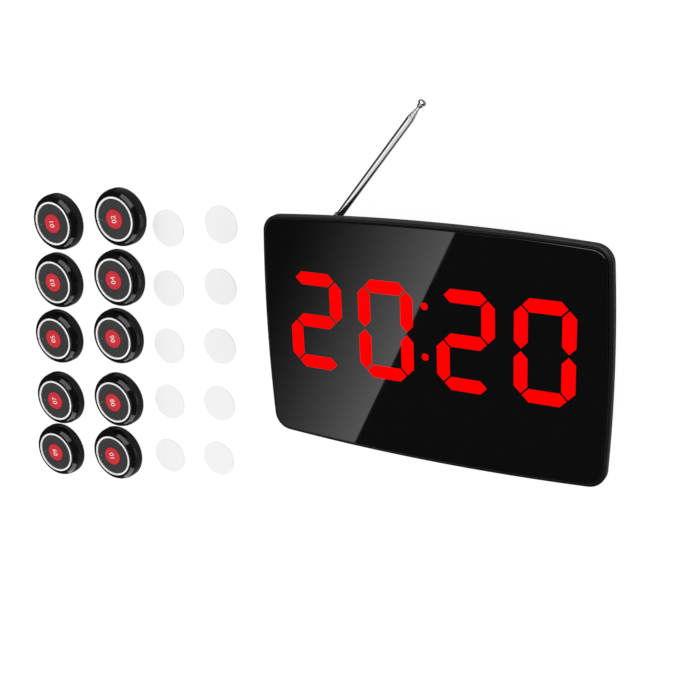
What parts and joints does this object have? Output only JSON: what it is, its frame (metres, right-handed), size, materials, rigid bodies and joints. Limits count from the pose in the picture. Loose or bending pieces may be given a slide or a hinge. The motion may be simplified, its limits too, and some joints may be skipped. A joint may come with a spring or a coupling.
{
  "type": "nurse call system",
  "caption": "Wireless nurse call set: desk or wall receiver with red digit display and telescopic antenna, round stick-on call buttons and their adhesive pads.",
  "frame": {"origin": "middle of the display's flat back, which is the plane that the whole set lies on", "axes": "+X to the right along the display, +Y towards the display's top edge, +Z out of its face"},
  "size_m": [0.4995, 0.326, 0.036],
  "materials": {
    "frame_plastic": "satin",
    "panel_acrylic": "polished smoked acrylic",
    "mask_black": "matte black print",
    "segment_lit": "glowing red diffuser",
    "segment_dark": "unlit diffuser",
    "led_housing": "matte",
    "board_green": "solder mask",
    "chip_black": "moulded",
    "shield_steel": "tinned",
    "speaker_steel": "zinc plated",
    "speaker_paper": "paper cone",
    "inlet_black": "moulded",
    "switch_steel": "plated",
    "cover_plastic": "fine texture",
    "screw_steel": "zinc plated",
    "function_key_black": "satin",
    "antenna_chrome": "polished",
    "button_base_black": "fine texture",
    "button_gloss": "polished",
    "ring_white": "satin",
    "call_key_grey": "matte",
    "disc_red": "satin",
    "cell_steel": "nickel plated",
    "contact_brass": "spring strip",
    "pipe_clear": "clear",
    "pad_foam": "foam",
    "liner_paper": "coated paper"
  },
  "bodies": {
    "call_set": {"front_frame": "frame_plastic", "front_panel": "panel_acrylic", "segment_mask": "mask_black", "lit_segments": "segment_lit", "dark_segments": "segment_dark", "led_modules": "led_housing", "main_board": "board_green", "button_boards": "board_green", "board_chips": "chip_black", "key_switches": "chip_black", "button_switches": "chip_black", "receiver_module": "shield_steel", "speaker_frame": "speaker_steel", "speaker_cone": "speaker_paper", "dc_jack": "inlet_black", "power_switch_body": "switch_steel", "rear_cover": "cover_plastic", "self_tapping_screws": "screw_steel", "antenna_screw": "screw_steel", "antenna_washer": "screw_steel", "button_bases": "button_base_black", "button_housings": "button_gloss", "button_rings": "ring_white", "button_cells": "cell_steel", "cell_contacts": "contact_brass", "light_pipes": "pipe_clear", "adhesive_pads": "pad_foam", "pad_liners": "liner_paper"},
    "antenna_base": {"antenna_knuckle": "antenna_chrome", "antenna_tube_1": "antenna_chrome"},
    "antenna_section_2": {"antenna_tube_2": "antenna_chrome"},
    "antenna_section_3": {"antenna_tube_3": "antenna_chrome"},
    "antenna_section_4": {"antenna_rod": "antenna_chrome", "antenna_tip": "antenna_chrome"},
    "power_slider": {"power_switch_slider": "inlet_black"},
    "function_key_1": {"function_key_1": "function_key_black"},
    "function_key_2": {"function_key_2": "function_key_black"},
    "function_key_3": {"function_key_3": "function_key_black"},
    "function_key_4": {"function_key_4": "function_key_black"},
    "call_key_01": {"call_key_01": "call_key_grey", "call_disc_01": "disc_red"},
    "call_key_02": {"call_key_02": "call_key_grey", "call_disc_02": "disc_red"},
    "call_key_03": {"call_key_03": "call_key_grey", "call_disc_03": "disc_red"},
    "call_key_04": {"call_key_04": "call_key_grey", "call_disc_04": "disc_red"},
    "call_key_05": {"call_key_05": "call_key_grey", "call_disc_05": "disc_red"},
    "call_key_06": {"call_key_06": "call_key_grey", "call_disc_06": "disc_red"},
    "call_key_07": {"call_key_07": "call_key_grey", "call_disc_07": "disc_red"},
    "call_key_08": {"call_key_08": "call_key_grey", "call_disc_08": "disc_red"},
    "call_key_09": {"call_key_09": "call_key_grey", "call_disc_09": "disc_red"},
    "call_key_10": {"call_key_10": "call_key_grey", "call_disc_10": "disc_red"}
  },
  "joints": [
    {"name": "antenna_swing", "type": "hinge", "parent": "call_set", "child": "antenna_base", "pos_m": [-0.0765, 0.06685, 0.018], "axis": [0, 0, 1], "range_deg": [-50.5, 129.5]},
    {"name": "antenna_slide_1", "type": "slide", "parent": "antenna_base", "child": "antenna_section_2", "axis": [0.6361, 0.7716, 0], "range_m": [0, 0.072]},
    {"name": "antenna_slide_2", "type": "slide", "parent": "antenna_section_2", "child": "antenna_section_3", "axis": [0.6361, 0.7716, 0], "range_m": [0, 0.072]},
    {"name": "antenna_slide_3", "type": "slide", "parent": "antenna_section_3", "child": "antenna_section_4", "axis": [0.6361, 0.7716, 0], "range_m": [0, 0.072]},
    {"name": "power_switch_slide", "type": "slide", "parent": "call_set", "child": "power_slider", "axis": [0, 1, 0], "range_m": [0, 0.004]},
    {"name": "function_key_1_press", "type": "slide", "parent": "call_set", "child": "function_key_1", "axis": [0, -1, 0], "range_m": [0, 0.0006], "stiffness_N_per_m": 1000, "springref_m": -0.0005},
    {"name": "function_key_2_press", "type": "slide", "parent": "call_set", "child": "function_key_2", "axis": [0, -1, 0], "range_m": [0, 0.0006], "stiffness_N_per_m": 1000, "springref_m": -0.0005},
    {"name": "function_key_3_press", "type": "slide", "parent": "call_set", "child": "function_key_3", "axis": [0, -1, 0], "range_m": [0, 0.0006], "stiffness_N_per_m": 1000, "springref_m": -0.0005},
    {"name": "function_key_4_press", "type": "slide", "parent": "call_set", "child": "function_key_4", "axis": [0, -1, 0], "range_m": [0, 0.0006], "stiffness_N_per_m": 1000, "springref_m": -0.0005},
    {"name": "call_01_press", "type": "slide", "parent": "call_set", "child": "call_key_01", "axis": [0, 0, -1], "range_m": [0, 0.0006], "stiffness_N_per_m": 1500, "springref_m": -0.0005},
    {"name": "call_02_press", "type": "slide", "parent": "call_set", "child": "call_key_02", "axis": [0, 0, -1], "range_m": [0, 0.0006], "stiffness_N_per_m": 1500, "springref_m": -0.0005},
    {"name": "call_03_press", "type": "slide", "parent": "call_set", "child": "call_key_03", "axis": [0, 0, -1], "range_m": [0, 0.0006], "stiffness_N_per_m": 1500, "springref_m": -0.0005},
    {"name": "call_04_press", "type": "slide", "parent": "call_set", "child": "call_key_04", "axis": [0, 0, -1], "range_m": [0, 0.0006], "stiffness_N_per_m": 1500, "springref_m": -0.0005},
    {"name": "call_05_press", "type": "slide", "parent": "call_set", "child": "call_key_05", "axis": [0, 0, -1], "range_m": [0, 0.0006], "stiffness_N_per_m": 1500, "springref_m": -0.0005},
    {"name": "call_06_press", "type": "slide", "parent": "call_set", "child": "call_key_06", "axis": [0, 0, -1], "range_m": [0, 0.0006], "stiffness_N_per_m": 1500, "springref_m": -0.0005},
    {"name": "call_07_press", "type": "slide", "parent": "call_set", "child": "call_key_07", "axis": [0, 0, -1], "range_m": [0, 0.0006], "stiffness_N_per_m": 1500, "springref_m": -0.0005},
    {"name": "call_08_press", "type": "slide", "parent": "call_set", "child": "call_key_08", "axis": [0, 0, -1], "range_m": [0, 0.0006], "stiffness_N_per_m": 1500, "springref_m": -0.0005},
    {"name": "call_09_press", "type": "slide", "parent": "call_set", "child": "call_key_09", "axis": [0, 0, -1], "range_m": [0, 0.0006], "stiffness_N_per_m": 1500, "springref_m": -0.0005},
    {"name": "call_10_press", "type": "slide", "parent": "call_set", "child": "call_key_10", "axis": [0, 0, -1], "range_m": [0, 0.0006], "stiffness_N_per_m": 1500, "springref_m": -0.0005}
  ]
}
